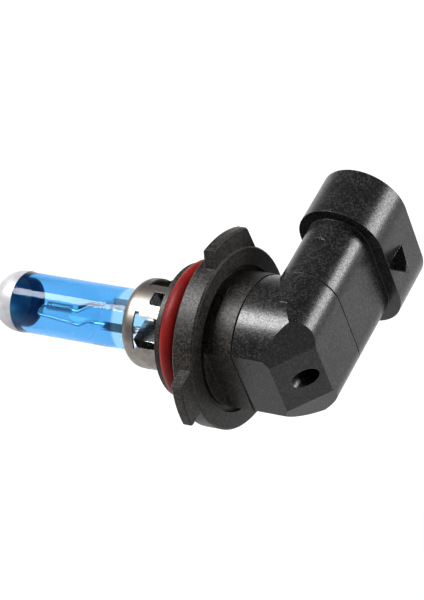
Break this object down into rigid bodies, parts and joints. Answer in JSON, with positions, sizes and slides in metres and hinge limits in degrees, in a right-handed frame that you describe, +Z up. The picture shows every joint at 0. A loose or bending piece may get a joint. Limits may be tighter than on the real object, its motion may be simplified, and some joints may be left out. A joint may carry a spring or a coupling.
{
  "type": "headlight bulb",
  "caption": "Right-angle capsule headlight bulb: blue glass with silvered tip, metal collar, sealed bayonet base and a two-blade connector socket.",
  "frame": {"origin": "on the lamp axis, in the front face of the bayonet disc, which seats against the lamp housing", "axes": "-X along the lamp axis towards the glass tip, +Y out of the connector socket, +Z up"},
  "size_m": [0.0694, 0.045, 0.0351],
  "materials": {
    "blue_glass": "clear, tinted, polished",
    "tip_silver": "satin opaque coating",
    "tungsten": "satin grey",
    "foil": "thin dark foil",
    "nickel": "warm satin nickel",
    "tinned_brass": "tinned, satin",
    "base_plastic": "matte glass-filled, speckled",
    "housing_plastic": "fine grain with soft sheen",
    "carrier_plastic": "matte",
    "red_silicone": "satin"
  },
  "bodies": {
    "root": {"glass_capsule": "blue_glass", "tip_coating": "tip_silver", "filament_coil": "tungsten", "support_long": "tungsten", "support_short": "tungsten", "anchor_wire": "tungsten", "seal_foil_a": "foil", "seal_foil_b": "foil", "lead_wire_a": "nickel", "lead_wire_b": "nickel", "seal_clip": "nickel", "windowed_collar": "nickel", "seat_ring": "nickel", "base_flange": "base_plastic", "seal_ring": "red_silicone", "elbow_housing": "housing_plastic", "connector_shroud": "housing_plastic", "terminal_carrier": "carrier_plastic", "terminal_a": "tinned_brass", "terminal_b": "tinned_brass", "weld_sleeve_a": "nickel", "weld_sleeve_b": "nickel"}
  },
  "joints": []
}
